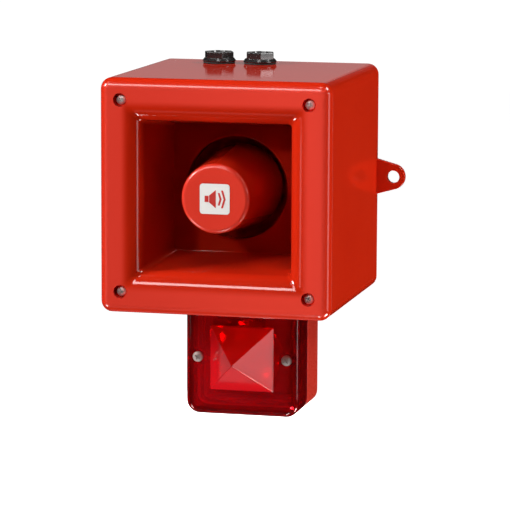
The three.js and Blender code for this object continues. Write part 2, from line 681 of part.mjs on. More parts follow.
// A hexagonal nut of 5 mm on the 20 mm thread, with its lower face at z.
function locknut(name, z) {
  const nut = cut(barZ(hexR(25), z, z + 5, 0, 0, 6), barZ(PLUG.threadR + GAP, z - 1, z + 6, 0, 0, 20));
  return mesh(name, nut, blackNylon());
}

// ---------------------------------------------------------------- strobe
function strobeFixing() {
  const { half, wall } = HOUSING;
  const { y, r, boreR, topZ, bottomZ } = NIPPLE;
  const nippleTube = cut(barZ(r, bottomZ, topZ, 0, 0, 20), barZ(boreR, bottomZ - 1, topZ + 1, 0, 0, 24));
  const topOfStrobe = STROBE.centreZ + STROBE.half;
  const washer = cut(barZ(15, topOfStrobe + GAP, -half - GAP, 0, 0, 20), barZ(r + GAP, -90, -80, 0, 0, 20));
  const pieces = [
    mesh('strobe_nipple', nippleTube, steel()),
    mesh('strobe_spacer', washer, rubber()),
    locknut('nipple_locknut', -half + wall + GAP),
  ];
  for (const piece of pieces) piece.position.y = y;
  return pieces;
}

const ledge = { half: 35, height: 4.5, faceY: STROBE.rimY + 2.6 };
const stakes = () => corners(30).map(([x, z]) => [x, z + STROBE.centreZ]);
const strobeBoardY = -24.3;

function strobeBase() {
  const { half, centreZ, cornerR, backY, rimY: nearY, wall } = STROBE;
  const shell = cut(
    squareBar(half, cornerR, backY, nearY, centreZ),
    squareBar(half - wall, cornerR - wall, backY - wall, nearY - 1, centreZ),
  );
  const shelfRearY = ledge.faceY + ledge.height;
  const shelf = squareFrame(half - 1, ledge.half, cornerR - 1, shelfRearY, ledge.faceY, centreZ);
  const columns = [-1, 1].map((side) => barY(5, nearY, backY - 1, side * LENS_SCREW.x, centreZ, 14));
  const hub = barZ(13.5, -99, -88, 0, NIPPLE.y, 20);
  const posts = stakes().map(([x, z]) => joined(
    barY(3, strobeBoardY + GAP, backY - 1, x, z, 8), barY(1.2, strobeBoardY - 3.4, backY - 1, x, z, 10),
  ));
  const body = joined(shell, shelf, ...columns, hub, ...posts);
  const pilots = [-1, 1].map((side) => barY(1.9, nearY - 1, nearY + 18, side * LENS_SCREW.x, centreZ, 8));
  const entry = barZ(NIPPLE.r + GAP, -100, -80, 0, NIPPLE.y, 20);
  return mesh('strobe_base', cut(body, ...pilots, entry), redPlastic());
}

function strobeGasket() {
  const { rimY: nearY, centreZ } = STROBE;
  const outer = STROBE.half - STROBE.wall - 0.6;
  const ring = squareFrame(outer, ledge.half + 1.2, 6, ledge.faceY - GAP, nearY, centreZ);
  const notches = [-1, 1].map((side) =>
    barY(5 + GAP, nearY - 1, nearY + 5, side * LENS_SCREW.x, centreZ, 14));
  return mesh('strobe_gasket', cut(ring, ...notches), rubber());
}

function pyramid(half, height, baseY) {
  const geometry = new THREE.ConeGeometry(half * Math.SQRT2, height, 4);
  geometry.rotateY(Math.PI / 4);
  geometry.rotateX(Math.PI);
  return solid(moved(geometry, 0, baseY - height / 2, STROBE.centreZ));
}

// Rounded square lens with a protruding pyramid, hollow and open at the back.
function strobeLens() {
  const { half, centreZ, cornerR, rimY: baseRimY, frontY: faceY } = STROBE;
  const rearY = baseRimY - GAP;
  const skin = 2.8;
  const edgeR = 5;
  const edge = arc(half - edgeR, faceY + edgeR, edgeR, 0, -Math.PI / 2, 4);
  const outside = lofted([
    squareRing(half, cornerR, rearY, centreZ),
    ...edge.map(([h, y]) => squareRing(h, cornerR - (half - h), y, centreZ)),
  ]);
  const flangeThick = 3;
  const hollow = joined(
    squareBar(ledge.half + 1, 5, rearY + 1, rearY - flangeThick - 1, centreZ),
    squareBar(half - skin, cornerR - skin, rearY - flangeThick, faceY + skin, centreZ),
    pyramid(PYRAMID.half - 2.4, PYRAMID.height - 3, faceY + skin + 0.01),
  );
  const columns = [-1, 1].map((side) =>
    barY(LENS_SCREW.columnR, faceY + 1, rearY, side * LENS_SCREW.x, centreZ, 14));
  const holes = [-1, 1].map((side) => barY(1.9, faceY - 1, rearY + 1, side * LENS_SCREW.x, centreZ, 8));
  const seats = [-1, 1].map((side) =>
    barY(LENS_SCREW.headR + 0.6, faceY - 1, faceY + LENS_SCREW.headH, side * LENS_SCREW.x, centreZ, 14));
  const body = cut(joined(outside, pyramid(PYRAMID.half, PYRAMID.height, faceY + 0.01)), hollow);
  const lens = mesh('strobe_lens', cut(joined(body, ...columns), ...holes, ...seats), finish(0xa01018, 0.15));
  lens.material.transparent = true;
  lens.material.opacity = 0.6;
  return lens;
}

function lensScrews() {
  return [-1, 1].map((side, i) => {
    const { x, headR, headH, shankR } = LENS_SCREW;
    const piece = screw(`lens_screw_${i + 1}`, headR, headH, shankR, 40);
    piece.position.set(side * x, STROBE.frontY + headH - GAP, STROBE.centreZ);
    return piece;
  });
}

const tubeLegX = 17;

function reflector() {
  const skin = 1.4;
  const curve = [[0, -50], [8, -50.6], [16, -52.8], [22, -56.4], [26, -60.6]];
  const bowl = (shift) => curve.map(([r, y]) => [r, y + shift]);
  const dish = turned([...bowl(-skin), ...bowl(0).reverse()], 20);
  const posts = [-13.5, 13.5].map((z) => barY(2.2, -53.2, strobeBoardY - 1.6 - GAP, 0, z, 8));
  const legHoles = [-1, 1].map((side) => barY(1.7, -62, -45, side * tubeLegX, 0, 8));
  const piece = mesh('reflector', cut(joined(dish, ...posts), ...legHoles), finish(0xd8d8d8, 0.1, 0.9));
  piece.position.z = STROBE.centreZ;
  return piece;
}

function strobeBoard() {
  const half = 35.5;
  const plate = block(-half, half, strobeBoardY - 1.6, strobeBoardY, -half, half);
  const stakeHoles = corners(30).map(([x, z]) => barY(1.6, -30, -20, x, z, 10));
  const notches = [-1, 1].map((side) => barY(5.4, -30, -20, side * LENS_SCREW.x, 0, 20));
  const hubNotch = block(-14.5, 14.5, -30, -20, 27.9, half + 1);
  const board = mesh('strobe_board', cut(plate, ...stakeHoles, ...notches, hubNotch), boardGreen());
  board.position.z = STROBE.centreZ;
  return board;
}

// A straight flash tube across the reflector on two legs.
function xenonTube() {
  const y = -66;
  const glass = barX(3.2, -18.5, 18.5, y, 0);
  const caps = [-1, 1].map((side) => barX(3.9, side * tubeLegX - 2.5, side * tubeLegX + 2.5, y, 0));
  const legs = [-1, 1].map((side) => barY(1, y, strobeBoardY - 1.6 - GAP, side * tubeLegX, 0, 10));
  const tube = mesh('xenon_tube', joined(glass, ...caps, ...legs), finish(0xe6ecf0, 0.1));
  tube.position.z = STROBE.centreZ;
  return tube;
}

function strobeCapacitor() {
  const can = storageCan('strobe_capacitor', 6, 28);
  can.rotation.z = -Math.PI / 2;
  can.position.set(14, strobeBoardY - 1.6 - GAP - 6, STROBE.centreZ - 23);
  return can;
}

// ---------------------------------------------------------------- assembly
function horn() {
  const group = new THREE.Group();
  group.add(rearHousing(), frontGasket(), hornFlare(), ...coverScrews());
  group.add(bullet(), bulletLabel(), bulletScrew(), toneArm());
  return group;
}

function driver() {
  const group = new THREE.Group();
  group.add(driverGasket(), driverFront(), phasePlug(), diaphragm(), voiceCoil());
  group.add(...magnetAssembly(), driverCover(), ...driverScrews());
  return group;
}

function electronics() {
  const group = new THREE.Group();
  group.add(sounderBoard(), ...boardScrews(), terminalBlock(), transformer(), boardCapacitor());
  group.add(toneSwitch(), ...toneSliders(), volumeTrimmer(), volumeRotor(), ...leads());
  return group;
}

function strobe() {
  const group = new THREE.Group();
  group.add(...strobeFixing(), strobeBase(), strobeGasket(), strobeLens(), ...lensScrews());
  group.add(reflector(), strobeBoard(), xenonTube(), strobeCapacitor());
  return group;
}

const hornStrobe = new THREE.Group();
hornStrobe.add(horn(), driver(), electronics(), ...stoppingPlugs(), strobe());

export default hornStrobe;
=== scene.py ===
"""Looks for the horn strobe: smooth moulded shells, screws, plugs and a clear red lens around
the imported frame. Shapes are written in millimetres and turned into metres when they are made."""

import json
import math

import bmesh
import bpy
from mathutils import Matrix, Vector


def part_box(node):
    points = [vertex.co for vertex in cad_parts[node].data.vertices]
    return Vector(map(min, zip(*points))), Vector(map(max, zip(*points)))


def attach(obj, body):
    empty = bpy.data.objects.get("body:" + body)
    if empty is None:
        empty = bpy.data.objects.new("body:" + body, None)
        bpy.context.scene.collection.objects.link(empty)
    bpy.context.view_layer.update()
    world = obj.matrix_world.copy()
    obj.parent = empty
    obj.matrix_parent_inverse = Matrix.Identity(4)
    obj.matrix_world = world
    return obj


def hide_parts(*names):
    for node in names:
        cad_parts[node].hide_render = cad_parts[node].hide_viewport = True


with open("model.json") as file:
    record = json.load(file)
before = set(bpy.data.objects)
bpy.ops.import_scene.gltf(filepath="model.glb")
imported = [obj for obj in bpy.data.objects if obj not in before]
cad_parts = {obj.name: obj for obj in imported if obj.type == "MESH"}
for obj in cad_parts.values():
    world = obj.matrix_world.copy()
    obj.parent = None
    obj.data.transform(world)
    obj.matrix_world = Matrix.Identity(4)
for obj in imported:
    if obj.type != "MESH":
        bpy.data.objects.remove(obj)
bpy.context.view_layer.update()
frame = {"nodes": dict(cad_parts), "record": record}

MM = 0.001
CORNER_STEPS = 9
SIDE_STEPS = 14
SHARP_ANGLE = 38


# ---------------------------------------------------------------- sizes from the frame
def millimetres(node):
    """A CAD node's lowest and highest corners in millimetres."""
    low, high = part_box(node)
    return low / MM, high / MM


def node_centre(node):
    """A CAD node's middle, lowest and highest corners in millimetres."""
    low, high = millimetres(node)
    return (low + high) / 2, low, high


flare_low, flare_high = millimetres("horn_flare")
housing_low, housing_high = millimetres("rear_housing")
bullet_low, bullet_high = millimetres("bullet")
label_low, label_high = millimetres("bullet_label")
base_low, base_high = millimetres("strobe_base")
lens_low, lens_high = millimetres("strobe_lens")

HALF = flare_high.x
FRONT_Y = flare_low.y
COVER_BACK_Y = FRONT_Y + 7
RIM_Y = housing_low.y
LUG_TIP_X = housing_high.x
CORNER_R = 8
EDGE_R = 7
ENTRY_R = 10.3
SCREW_AT = node_centre("cover_screw_1")[0].x
LIP_HALF = 66.8
LIP_R = 14
LIP_TURN = 82.5
PLATE_Y = -99
PLATE_HALF = 45.8
PLATE_HOLE_R = 37
BOWL_R = 37.5
BOWL_CURVE_R = 16
BOWL_FLOOR_Y = -70
BOWL_BACK_Y = -66
THROAT_R = 14.3
NOSE_R = 24.5
STROBE_HALF = base_high.x
STROBE_Z = (base_low.z + base_high.z) / 2
STROBE_CORNER_R = 10
BASE_RIM_Y = base_low.y
LENS_FACE_Y = -81.5
PYRAMID_HALF = 23.3
LENS_SCREW_X = node_centre("lens_screw_2")[0].x


# ---------------------------------------------------------------- mesh making
def new_object(name, vertices, faces):
    """An object from points in millimetres, with its faces turned outwards."""
    mesh = bpy.data.meshes.new(name)
    mesh.from_pydata([Vector(v) * MM for v in vertices], [], faces)
    work = bmesh.new()
    work.from_mesh(mesh)
    bmesh.ops.remove_doubles(work, verts=work.verts, dist=1e-7)
    bmesh.ops.recalc_face_normals(work, faces=work.faces)
    work.to_mesh(mesh)
    work.free()
    piece = bpy.data.objects.new(name, mesh)
    bpy.context.scene.collection.objects.link(piece)
    return piece


def corner_angles():
    """Angles of one quarter's points: a rounded corner's arc, then the straight side after it."""
    return [math.pi / 2 * i / (CORNER_STEPS - 1) for i in range(CORNER_STEPS)]


def square_ring(half, radius, y, centre_z=0.0):
    """A rounded square in the XZ plane, with extra points along its straight sides."""
    ring = []
    inner = half - radius
    for quarter in range(4):
        turn = Matrix.Rotation(-quarter * math.pi / 2, 3, "Y")
        corner = [Vector((inner + radius * math.cos(a), 0, inner + radius * math.sin(a)))
                  for a in corner_angles()]
        side_end = Vector((-inner, 0, half))
        side = [corner[-1].lerp(side_end, i / SIDE_STEPS) for i in range(1, SIDE_STEPS)]
        ring += [turn @ point + Vector((0, y, centre_z)) for point in corner + side]
    return ring


def round_ring(radius, y, centre_z=0.0):
    """A circle in the XZ plane with as many points as a square ring, at matching angles."""
    ring = []
    for point in square_ring(1.0, 0.35, 0):
        angle = math.atan2(point.z, point.x)
        ring.append(Vector((radius * math.cos(angle), y, centre_z + radius * math.sin(angle))))
    return ring


def loft(name, rings, looped=False):
    """A skin through rings of equal length; an open run is capped at both ends."""
    size = len(rings[0])
    count = len(rings)
    faces = []
    for row in range(count if looped else count - 1):
        here, after = row * size, (row + 1) % count * size
        faces += [(here + i, here + (i + 1) % size, after + (i + 1) % size, after + i)
                  for i in range(size)]
    if not looped:
        faces.append(tuple(range(size - 1, -1, -1)))
        faces.append(tuple(range((count - 1) * size, count * size)))
    return new_object(name, [point for ring in rings for point in ring], faces)


def turned(name, profile, segments=72, axis="Y"):
    """A solid of revolution from (radius, place along the axis) points; it closes on itself."""
    vertices, faces = [], []
    count = len(profile)
    for step in range(segments):
        angle = 2 * math.pi * step / segments
        for radius, along in profile:
            across, over = radius * math.cos(angle), radius * math.sin(angle)
            vertices.append((across, along, over) if axis == "Y" else (across, over, along))
    closed = profile[0][0] > 0
    for step in range(segments):
        here, after = step * count, (step + 1) % segments * count
        for i in range(count if closed else count - 1):
            j = (i + 1) % count
            faces.append((here + i, here + j, after + j, after + i))
    piece = new_object(name, vertices, faces)
    dissolve_slivers(piece)
    return piece


def dissolve_slivers(piece):
    """Removes the faces that collapsed onto the axis when their points were merged."""
    work = bmesh.new()
    work.from_mesh(piece.data)
    bmesh.ops.dissolve_degenerate(work, dist=1e-8, edges=work.edges)
    bmesh.ops.recalc_face_normals(work, faces=work.faces)
    work.to_mesh(piece.data)
    work.free()


def arc(centre_r, centre_y, radius, start, end, steps):
    """Points on an arc of a (radius, y) profile, angles in degrees."""
    points = []
    for i in range(steps + 1):
        angle = math.radians(start + (end - start) * i / steps)
        points.append((centre_r + radius * math.cos(angle), centre_y + radius * math.sin(angle)))
    return points


def prism(name, outline, y_front, y_back):
    """An (x, z) outline drawn out along Y."""
    size = len(outline)
    vertices = [(x, y, z) for y in (y_front, y_back) for x, z in outline]
    faces = [(i, (i + 1) % size, size + (i + 1) % size, size + i) for i in range(size)]
    faces += [tuple(range(size - 1, -1, -1)), tuple(range(size, 2 * size))]
    return new_object(name, vertices, faces)


def block(name, low, high):
    """A box between two corners."""
    outline = [(low[0], low[2]), (high[0], low[2]), (high[0], high[2]), (low[0], high[2])]
    return prism(name, outline, low[1], high[1])


def bar(name, radius, start, end, at=(0, 0), axis="Y", segments=40, chamfer=0.0):
    """A round bar along Y at (x, z), or along Z at (x, y)."""
    if chamfer:
        profile = [(0, start), (radius - chamfer, start), (radius, start + chamfer),
                   (radius, end - chamfer), (radius - chamfer, end), (0, end)]
    else:
        profile = [(0, start), (radius, start), (radius, end), (0, end)]
    piece = turned(name, profile, segments, axis)
    shift = (at[0], 0, at[1]) if axis == "Y" else (at[0], at[1], 0)
    piece.data.transform(Matrix.Translation(Vector(shift) * MM))
    return piece


def rounded_outline(width, height, radius, steps=6, centre=(0, 0)):
    """A rounded rectangle's outline."""
    points = []
    for quarter, (sx, sz) in enumerate(((1, 1), (-1, 1), (-1, -1), (1, -1))):
        for i in range(steps + 1):
            angle = math.pi / 2 * (quarter + i / steps)
            points.append((centre[0] + sx * (width / 2 - radius) + radius * math.cos(angle),
                           centre[1] + sz * (height / 2 - radius) + radius * math.sin(angle)))
    return points


def applied(piece, kind, **settings):
    """Adds a modifier and keeps its result as the piece's mesh."""
    modifier = piece.modifiers.new(kind.title(), kind)
    for key, value in settings.items():
        setattr(modifier, key, value)
    graph = bpy.context.evaluated_depsgraph_get()
    result = bpy.data.meshes.new_from_object(piece.evaluated_get(graph))
    piece.modifiers.clear()
    old = piece.data
    piece.data = result
    bpy.data.meshes.remove(old)
    return piece


def combined(piece, operation, others):
    """Puts each of the others into the piece by a boolean operation and removes it."""
    for other in others:
        applied(piece, "BOOLEAN", operation=operation, object=other, solver="EXACT")
        bpy.data.objects.remove(other)
    return piece


def cut(piece, *tools):
    return combined(piece, "DIFFERENCE", tools)


def join(piece, *others):
    return combined(piece, "UNION", others)


def bevelled(piece, width, segments=3, angle=40):
    """Rounds the piece's edges that are sharper than the angle, by a width in millimetres."""
    return applied(piece, "BEVEL", width=width * MM, segments=segments, limit_method="ANGLE",
                   angle_limit=math.radians(angle), harden_normals=False)


def settle(piece, material, body="enclosure", stands_for=(), sharp=SHARP_ANGLE):
    """Shades a finished piece, gives it its material and hangs it on its body."""
    piece.data.shade_smooth()
    piece.data.set_sharp_from_angle(angle=math.radians(sharp))
    applied(piece, "WEIGHTED_NORMAL", keep_sharp=True, weight=80)
    piece.data.materials.clear()
    piece.data.materials.append(material)
    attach(piece, body)
    if stands_for:
        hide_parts(*stands_for)
    return piece


def corners(half):
    """The four corners of a square round the middle."""
    return [(half, half), (-half, half), (-half, -half), (half, -half)]


# ---------------------------------------------------------------- materials
def material_base(name):
    material = bpy.data.materials.new(name)
    material.use_nodes = True
    nodes = material.node_tree.nodes
    return material, nodes, material.node_tree.links, nodes["Principled BSDF"]


def noise(nodes, links, scale, detail=3.0, stretch=(1, 1, 1)):
    """Noise in object space, so that its grain has a real size."""
    place = nodes.new("ShaderNodeTexCoord")
    mapping = nodes.new("ShaderNodeMapping")
    mapping.inputs["Scale"].default_value = stretch
    texture = nodes.new("ShaderNodeTexNoise")
    texture.inputs["Scale"].default_value = scale
    texture.inputs["Detail"].default_value = detail
    links.new(place.outputs["Object"], mapping.inputs["Vector"])
    links.new(mapping.outputs["Vector"], texture.inputs["Vector"])
    return texture.outputs["Fac"]


def ramp(nodes, links, source, low, high, start=0.3, end=0.7):
    """A colour or grey that follows its source between two values."""
    node = nodes.new("ShaderNodeValToRGB")
    node.color_ramp.elements[0].position = start
    node.color_ramp.elements[1].position = end
    node.color_ramp.elements[0].color = low if isinstance(low, tuple) else (low, low, low, 1)
    node.color_ramp.elements[1].color = high if isinstance(high, tuple) else (high, high, high, 1)
    links.new(source, node.inputs["Fac"])
    return node.outputs["Color"]


def rising(nodes, links, source, start, end):
    """Goes smoothly from 0 to 1 while the source goes from start to end."""
    node = nodes.new("ShaderNodeMapRange")
    node.interpolation_type = "SMOOTHSTEP"
    node.inputs["From Min"].default_value = start
    node.inputs["From Max"].default_value = end
    links.new(source, node.inputs["Value"])
    return node.outputs["Result"]


def scaled_sum(nodes, links, share, amount, base):
    """The base value plus a share of the amount."""
    node = nodes.new("ShaderNodeMath")
    node.operation = "MULTIPLY_ADD"
    node.inputs[1].default_value = amount
    links.new(share, node.inputs[0])
    links.new(base, node.inputs[2])
    return node.outputs["Value"]


def combined_value(nodes, links, operation, first, second):
    """Two values put together by a math operation such as MULTIPLY or MAXIMUM."""
    node = nodes.new("ShaderNodeMath")
    node.operation = operation
    links.new(first, node.inputs[0])
    links.new(second, node.inputs[1])
    return node.outputs["Value"]


def place_axes(nodes, links):
    """The shaded point's X, Y and Z in object space, in metres."""
    place = nodes.new("ShaderNodeTexCoord")
    split = nodes.new("ShaderNodeSeparateXYZ")
    links.new(place.outputs["Object"], split.inputs["Vector"])
    return split.outputs


def square_distance(nodes, links, centre_z):
    """How far a point lies from a centre on the Y axis, measured so that squares are level lines."""
    axes = place_axes(nodes, links)
    sides = []
    for axis, centre in (("X", 0.0), ("Z", centre_z)):
        offset = nodes.new("ShaderNodeMath")
        offset.operation = "SUBTRACT"
        offset.inputs[1].default_value = centre
        links.new(axes[axis], offset.inputs[0])
        size = nodes.new("ShaderNodeMath")
        size.operation = "ABSOLUTE"
        links.new(offset.outputs["Value"], size.inputs[0])
        sides.append(size.outputs["Value"])
    return combined_value(nodes, links, "MAXIMUM", *sides)


def bump(nodes, links, source, shader, strength, distance):
    node = nodes.new("ShaderNodeBump")
    node.inputs["Strength"].default_value = strength
    node.inputs["Distance"].default_value = distance
    links.new(source, node.inputs["Height"])
    links.new(node.outputs["Normal"], shader.inputs["Normal"])


def surface(name, low, high, rough, metallic=0.0, grain=400.0, mottle=25.0, relief=0.00003,
            strength=0.15, stretch=(1, 1, 1)):
    """A surface whose colour, gloss and fine relief vary a little, as on moulded or machined stock."""
    material, nodes, links, shader = material_base(name)
    shader.inputs["Metallic"].default_value = metallic
    broad = noise(nodes, links, mottle, 4.0)
    fine = noise(nodes, links, grain, 2.0, stretch)
    links.new(ramp(nodes, links, broad, (*low, 1), (*high, 1)), shader.inputs["Base Color"])
    links.new(ramp(nodes, links, fine, rough[0], rough[1]), shader.inputs["Roughness"])
    bump(nodes, links, fine, shader, strength, relief)
    return material, shader


# Painted light on the red, in metres: a paler, whiter red, brighter towards the right, on the foremost faces,
# on the flat of the bezel between its outer edge and the lip of the mouth, and on the bullet in the middle.
# Each pair is where the painted light begins and where it is full; across the piece it is where the left tint
# ends and the right tint is reached.
PAINTED_LIGHT_ACROSS = (-0.09, 0.09)
PAINTED_LIGHT_DEPTH = (-0.157, -0.162)
PAINTED_LIGHT_INSIDE_EDGE = (0.0815, 0.0765)
PAINTED_LIGHT_OUTSIDE_LIP = (0.0620, 0.0680)
PAINTED_LIGHT_ON_BULLET = (0.045, 0.040)
PAINTED_LIGHT_LEFT = (0.74, 0.042, 0.023, 1)
PAINTED_LIGHT_RIGHT = (0.97, 0.062, 0.036, 1)
PAINTED_LIGHT_ZONE_ROUGHNESS = 0.16


def moulded_red(name, low, high, rough):
    """Glossy red moulding with painted light on its foremost faces: a paler, whiter red, more so towards one
    side.
    """
    material, shader = surface(name, low, high, rough, grain=900, mottle=14, relief=0.00001, strength=0.05)
    shader.inputs["IOR"].default_value = 1.53
    nodes, links = material.node_tree.nodes, material.node_tree.links
    axes = place_axes(nodes, links)
    across = rising(nodes, links, axes["X"], *PAINTED_LIGHT_ACROSS)
    painted_light_tint = ramp(nodes, links, across, PAINTED_LIGHT_LEFT, PAINTED_LIGHT_RIGHT, 0, 1)
    foremost = rising(nodes, links, axes["Y"], *PAINTED_LIGHT_DEPTH)
    distance = square_distance(nodes, links, 0.0)
    inside_edge = rising(nodes, links, distance, *PAINTED_LIGHT_INSIDE_EDGE)
    outside_lip = rising(nodes, links, distance, *PAINTED_LIGHT_OUTSIDE_LIP)
    bezel = combined_value(nodes, links, "MULTIPLY", inside_edge, outside_lip)
    bullet = rising(nodes, links, distance, *PAINTED_LIGHT_ON_BULLET)
    flat_zone = combined_value(nodes, links, "MAXIMUM", bezel, bullet)
    frontness = combined_value(nodes, links, "MULTIPLY", foremost, flat_zone)
    # painted light: the foremost faces' red is mixed towards a paler, whiter tint that is brighter on the
    # right
    painted_light_mix = nodes.new("ShaderNodeMix")
    painted_light_mix.data_type = "RGBA"
    share, plain_colour, painted_light_socket = (painted_light_mix.inputs[i] for i in (0, 6, 7))
    links.new(frontness, share)
    links.new(shader.inputs["Base Color"].links[0].from_socket, plain_colour)
    links.new(painted_light_tint, painted_light_socket)
    links.new(painted_light_mix.outputs[2], shader.inputs["Base Color"])
    rough_before = shader.inputs["Roughness"].links[0].from_socket
    roughness = scaled_sum(nodes, links, frontness, PAINTED_LIGHT_ZONE_ROUGHNESS, rough_before)
    links.new(roughness, shader.inputs["Roughness"])
    return material


# Where the milky pyramid begins and is full, where the clear rim begins and is full, both in metres,
# and the share of light that the pyramid, the face round it and (in addition) the rim let through.
LENS_ZONE_EDGE = (PYRAMID_HALF * MM + 0.0003, PYRAMID_HALF * MM - 0.0006)
LENS_RIM = (0.030, 0.040)
MILKY, CLEAR, RIM_GAIN = 0.47, 0.74, 0.2


def clear_lens():
    """Clear red moulding: glossy and see-through at the rim, milky and rougher on the pyramid."""
    material, nodes, links, shader = material_base("lens_red")
    shader.inputs["IOR"].default_value = 1.5
    distance = square_distance(nodes, links, STROBE_Z * MM)
    zone = rising(nodes, links, distance, *LENS_ZONE_EDGE)
    rim = rising(nodes, links, distance, *LENS_RIM)
    broad = noise(nodes, links, 18.0)
    links.new(ramp(nodes, links, broad, (0.93, 0.012, 0.02, 1), (0.99, 0.016, 0.026, 1)),
              shader.inputs["Base Color"])
    clearness = scaled_sum(nodes, links, rim, RIM_GAIN, ramp(nodes, links, zone, CLEAR, MILKY, 0, 1))
    links.new(clearness, shader.inputs["Transmission Weight"])
    links.new(ramp(nodes, links, zone, 0.07, 0.12, 0, 1), shader.inputs["Roughness"])
    bump(nodes, links, broad, shader, 0.05, 0.00002)
    return material


def tube_glass():
    material, nodes, links, shader = material_base("tube_glass")
    shader.inputs["Transmission Weight"].default_value = 0.9
    fine = noise(nodes, links, 60.0)
    links.new(ramp(nodes, links, fine, (0.86, 0.9, 0.92, 1), (0.95, 0.97, 0.98, 1)),
              shader.inputs["Base Color"])
    links.new(ramp(nodes, links, fine, 0.04, 0.12), shader.inputs["Roughness"])
    return material


def plain(name, low, high, rough, **options):
    """A surface's material alone, for looks that need no further change."""
    return surface(name, low, high, rough, **options)[0]


def black_nylon():
    material, shader = surface("black_nylon", (0.014, 0.013, 0.013), (0.024, 0.022, 0.022), (0.12, 0.22),
                               grain=1400)
    shader.inputs["IOR"].default_value = 1.8
    return material


METAL_GRAIN = (1, 14, 1)
looks = {
    "housing_red": moulded_red("housing_red", (0.60, 0.019, 0.004), (0.63, 0.022, 0.005), (0.07, 0.11)),
    "strobe_base_red": moulded_red("strobe_base_red", (0.50, 0.03, 0.016), (0.53, 0.034, 0.019),
                                   (0.25, 0.33)),
    "lens_red": clear_lens(),
    "label_white": plain("label_white", (0.96, 0.92, 0.88), (0.99, 0.95, 0.91), (0.3, 0.42), relief=0.00001),
    "label_print": plain("label_print", (0.62, 0.03, 0.02), (0.66, 0.04, 0.03), (0.35, 0.5), relief=0.00001),
    "black_nylon": black_nylon(),
    "screw_steel": plain("screw_steel", (0.72, 0.68, 0.65), (0.84, 0.8, 0.77), (0.5, 0.7), metallic=0.75,
                         grain=900, stretch=METAL_GRAIN),
    "lens_screw_steel": plain("lens_screw_steel", (0.42, 0.38, 0.35), (0.56, 0.5, 0.46), (0.5, 0.7),
                              metallic=0.75, grain=900, stretch=METAL_GRAIN),
    "yoke_steel": plain("yoke_steel", (0.42, 0.42, 0.43), (0.56, 0.56, 0.57), (0.3, 0.5), metallic=1.0),
    "nipple_brass": plain("nipple_brass", (0.6, 0.52, 0.34), (0.72, 0.64, 0.45), (0.25, 0.4), metallic=1.0),
    "seal_rubber": plain("seal_rubber", (0.012, 0.012, 0.012), (0.025, 0.024, 0.023), (0.7, 0.9), grain=1800,
                         strength=0.4),
    "ferrite": plain("ferrite", (0.03, 0.03, 0.034), (0.06, 0.06, 0.066), (0.6, 0.85), grain=2500,
                     strength=0.5),
    "phenolic_film": plain("phenolic_film", (0.36, 0.2, 0.08), (0.5, 0.3, 0.13), (0.35, 0.55)),
    "copper_winding": plain("copper_winding", (0.5, 0.2, 0.08), (0.68, 0.3, 0.12), (0.25, 0.45), metallic=1.0,
                            stretch=(1, 40, 1), strength=0.6),
    "board_green": plain("board_green", (0.015, 0.11, 0.035), (0.03, 0.17, 0.06), (0.25, 0.45), mottle=160),
    "terminal_green": plain("terminal_green", (0.02, 0.17, 0.06), (0.04, 0.22, 0.08), (0.4, 0.55)),
    "transformer_yellow": plain("transformer_yellow", (0.6, 0.4, 0.06), (0.75, 0.55, 0.12), (0.35, 0.55),
                                stretch=(1, 30, 1), strength=0.4),
    "capacitor_blue": plain("capacitor_blue", (0.015, 0.04, 0.16), (0.03, 0.07, 0.24), (0.2, 0.35)),
    "switch_red": plain("switch_red", (0.4, 0.02, 0.02), (0.5, 0.03, 0.03), (0.35, 0.5)),
    "slider_cream": plain("slider_cream", (0.7, 0.66, 0.55), (0.8, 0.77, 0.67), (0.4, 0.55)),
    "trimmer_blue": plain("trimmer_blue", (0.02, 0.08, 0.36), (0.03, 0.12, 0.48), (0.3, 0.45)),
    "wire_red": plain("wire_red", (0.42, 0.015, 0.015), (0.52, 0.02, 0.02), (0.35, 0.5)),
    "wire_black": plain("wire_black", (0.012, 0.012, 0.012), (0.022, 0.022, 0.022), (0.35, 0.5)),
    "reflector_chrome": plain("reflector_chrome", (0.74, 0.74, 0.76), (0.86, 0.86, 0.87), (0.06, 0.16),
                              metallic=1.0),
    "tube_glass": tube_glass(),
}


# ---------------------------------------------------------------- housing
def lug(side):
    """A wall lug: a tongue that tapers from the side wall to a round tip, with a chamfered hole."""
    tip_r, hole_r, root, root_x, thick = 9.5, 4.6, 13.6, HALF - 2, 5.5
    tip_x = LUG_TIP_X - tip_r
    hole_x = tip_x + 0.9
    lean = math.atan2(root - tip_r, tip_x - root_x)
    turn = math.pi / 2 - lean
    tip = [(tip_x + tip_r * math.cos(a), tip_r * math.sin(a))
           for a in (turn - 2 * turn * i / 36 for i in range(37))]
    outline = [(root_x, root)] + tip + [(root_x, -root)]
    piece = prism(f"lug{side}", [(side * x, z) for x, z in outline], -thick, 0)
    cut(piece, bar("hole", hole_r, -thick - 1, 1, (side * hole_x, 0), segments=56))
    return bevelled(piece, 0.5, 3)


def corner_column(x, z):
    """A column for a cover screw, with a rib to each of the two walls beside it."""
    radius, rib_half, foot_y, rib_y = 6.5, 1.5, -3, RIM_Y + 12
    column = bar("column", radius, RIM_Y, foot_y, (x, z))
    wall = HALF - 2
    low_x, high_x = sorted((x, math.copysign(wall, x)))
    low_z, high_z = sorted((z, math.copysign(wall, z)))
    return join(column, block("rib", (low_x, rib_y, z - rib_half), (high_x, foot_y, z + rib_half)),
                block("rib", (x - rib_half, rib_y, low_z), (x + rib_half, foot_y, high_z)))


def board_corners():
    """The (x, z) of the four screws of the sounder board."""
    low, high = millimetres("sounder_board")
    return [(x, z) for z in (low.z + 5, high.z - 5) for x in (low.x + 6, high.x - 6)]


def plug_places():
    """The (x, y) of each stopping plug's axis."""
    places = []
    for i in (1, 2):
        centre = node_centre(f"stopping_plug_{i}")[0]
        places.append((centre.x, centre.y))
    return places


def nipple_place():
    """The (x, y) of the axis of the nipple between the housing and the strobe."""
    centre = node_centre("strobe_nipple")[0]
    return centre.x, centre.y


